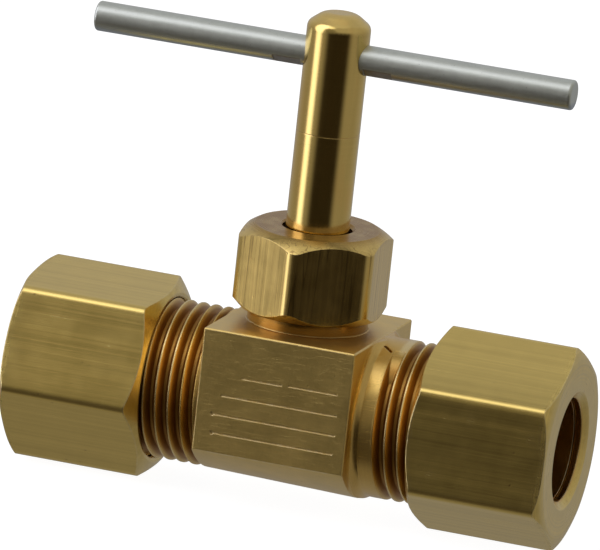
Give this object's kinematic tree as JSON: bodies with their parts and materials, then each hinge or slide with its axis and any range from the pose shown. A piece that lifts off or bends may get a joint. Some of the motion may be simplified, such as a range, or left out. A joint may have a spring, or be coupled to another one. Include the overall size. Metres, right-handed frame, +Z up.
{
  "type": "needle valve",
  "caption": "Small straight brass needle valve: round-bellied block body, compression nut on each tube end, hex packing nut, and a screwed stem turned by a steel tee bar.",
  "frame": {"origin": "where the tube axis and the stem axis cross, in the middle of the body", "axes": "+X along the tube axis towards the outlet end, +Z up the stem towards the tee bar, -Y towards the marked front face"},
  "size_m": [0.0448, 0.016, 0.0394],
  "materials": {
    "body_brass": "turned and drawn brass, dull on the flats, bright in the threads",
    "nut_brass": "drawn hexagon bar, fine lengthwise lines",
    "packing_nut_brass": "drawn hexagon bar, fine upright lines, turned top face",
    "stem_brass": "ground and polished",
    "ferrule_brass": "turned, satin",
    "gland_brass": "turned, satin",
    "packing_ptfe": "white PTFE, smooth",
    "tip_steel": "ground",
    "bar_steel": "satin drawn wire"
  },
  "bodies": {
    "body": {"valve_body": "body_brass", "packing_washer": "gland_brass", "packing_ring_lower": "packing_ptfe", "packing_ring_upper": "packing_ptfe"},
    "tip": {"needle_tip": "tip_steel"},
    "stem": {"needle_stem": "stem_brass", "tee_handle_bar": "bar_steel"},
    "gland": {"gland_follower": "gland_brass"},
    "packing_nut": {"packing_nut": "packing_nut_brass"},
    "left_ferrule": {"ferrule_left": "ferrule_brass"},
    "left_nut": {"compression_nut_left": "nut_brass"},
    "right_ferrule": {"ferrule_right": "ferrule_brass"},
    "right_nut": {"compression_nut_right": "nut_brass"}
  },
  "joints": [
    {"name": "stem_lift", "type": "slide", "parent": "body", "child": "tip", "axis": [0, 0, 1], "range_m": [0, 0.00272]},
    {"name": "stem_turn", "type": "hinge", "parent": "tip", "child": "stem", "pos_m": [0, 0, 0.002], "axis": [0, 0, 1], "range_deg": [0, 1080]},
    {"name": "packing_nut_lift", "type": "slide", "parent": "body", "child": "gland", "axis": [0, 0, 1], "range_m": [0, 0.00317]},
    {"name": "packing_nut_turn", "type": "hinge", "parent": "gland", "child": "packing_nut", "pos_m": [0, 0, 0.0105], "axis": [0, 0, 1], "range_deg": [0, 1080]},
    {"name": "left_nut_back_off", "type": "slide", "parent": "body", "child": "left_ferrule", "axis": [-1, 0, 0], "range_m": [0, 0.00423]},
    {"name": "left_nut_turn", "type": "hinge", "parent": "left_ferrule", "child": "left_nut", "pos_m": [-0.017, 0, 0], "axis": [-1, 0, 0], "range_deg": [0, 1440]},
    {"name": "right_nut_back_off", "type": "slide", "parent": "body", "child": "right_ferrule", "axis": [1, 0, 0], "range_m": [0, 0.00423]},
    {"name": "right_nut_turn", "type": "hinge", "parent": "right_ferrule", "child": "right_nut", "pos_m": [0.017, 0, 0], "axis": [1, 0, 0], "range_deg": [0, 1440]}
  ],
  "couplings": [
    {"joint": "stem_lift", "follows": "stem_turn", "m_per_rad": 0.00014438},
    {"joint": "packing_nut_lift", "follows": "packing_nut_turn", "m_per_rad": 0.00016844},
    {"joint": "left_nut_back_off", "follows": "left_nut_turn", "m_per_rad": 0.00016844},
    {"joint": "right_nut_back_off", "follows": "right_nut_turn", "m_per_rad": 0.00016844}
  ]
}
